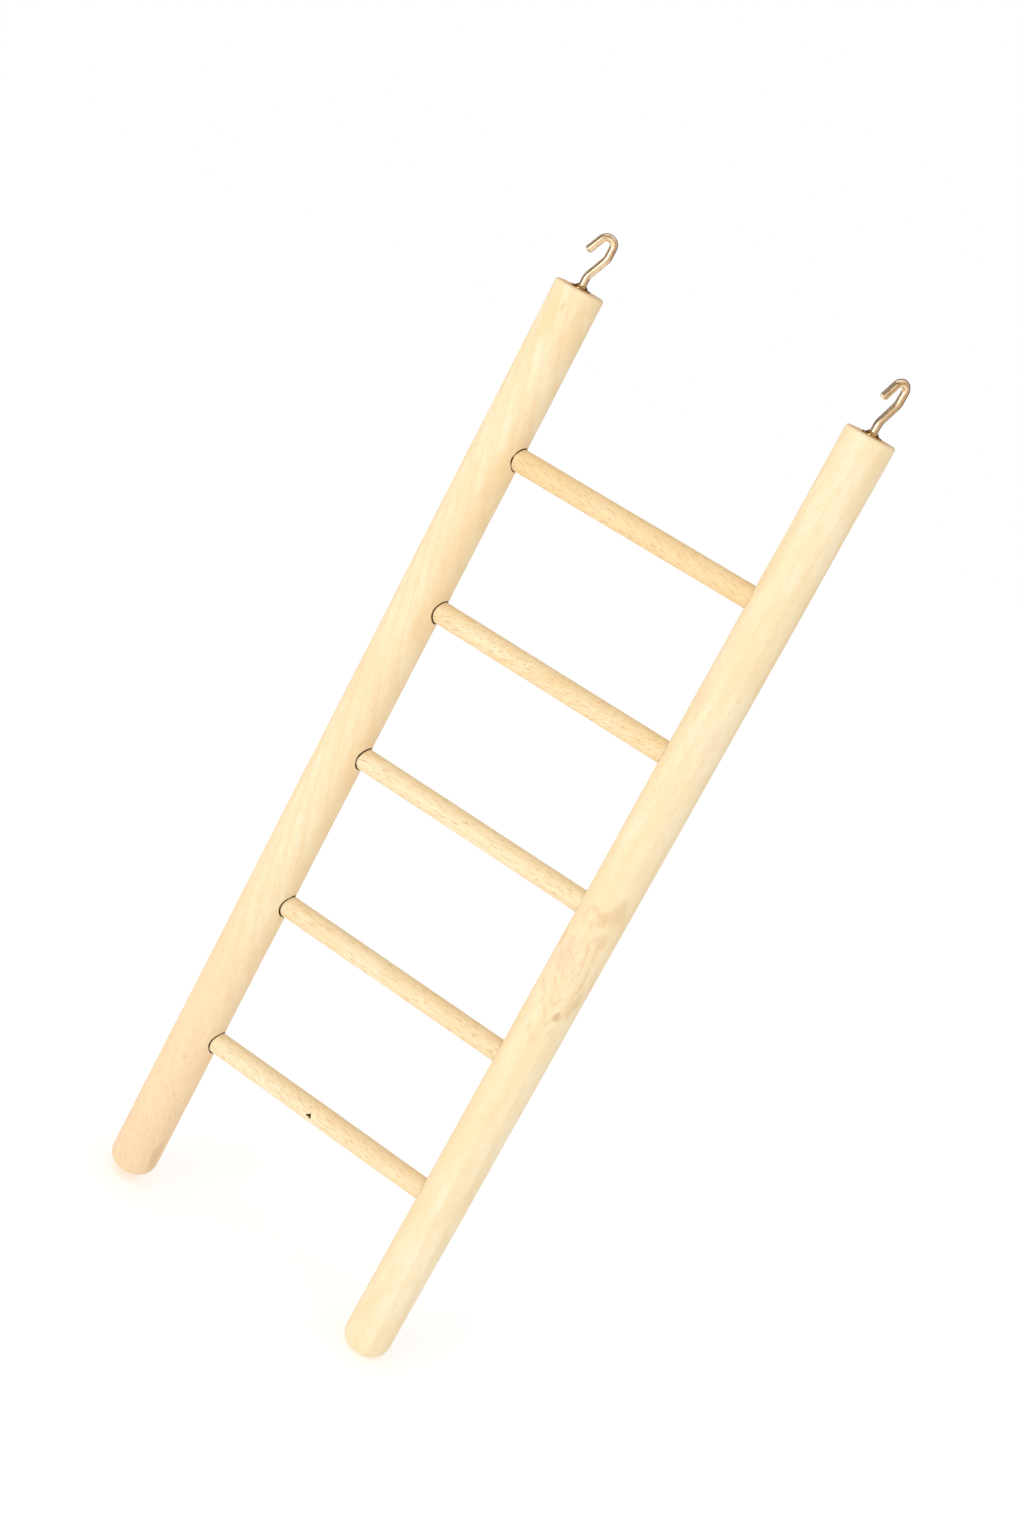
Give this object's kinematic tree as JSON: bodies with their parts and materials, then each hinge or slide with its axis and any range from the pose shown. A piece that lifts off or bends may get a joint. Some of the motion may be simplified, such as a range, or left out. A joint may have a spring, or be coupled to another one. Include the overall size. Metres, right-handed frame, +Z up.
{
  "type": "bird ladder",
  "caption": "Hanging wooden bird ladder: round rails with rounded feet, dowel rungs in blind holes, and brass screw hooks with stamped collars on top.",
  "frame": {"origin": "midway between the two rails, at the level of the flat under the right foot", "axes": "+Z up along the rails to the hooks, +X along the rungs from the left rail to the right rail, +Y to the back"},
  "size_m": [0.108, 0.015, 0.3251],
  "materials": {
    "rail_wood": "bare sanded pale softwood, dry and matt",
    "rung_wood": "bare sanded dowel, slightly more orange than the rails",
    "hook_brass": "bright bent wire, polished",
    "collar_brass": "bright stamped sheet, polished"
  },
  "bodies": {
    "root": {"left_rail": "rail_wood", "right_rail": "rail_wood", "rung_1": "rung_wood", "rung_2": "rung_wood", "rung_3": "rung_wood", "rung_4": "rung_wood", "rung_5": "rung_wood", "left_hook": "hook_brass", "right_hook": "hook_brass", "left_collar": "collar_brass", "right_collar": "collar_brass"}
  },
  "joints": []
}
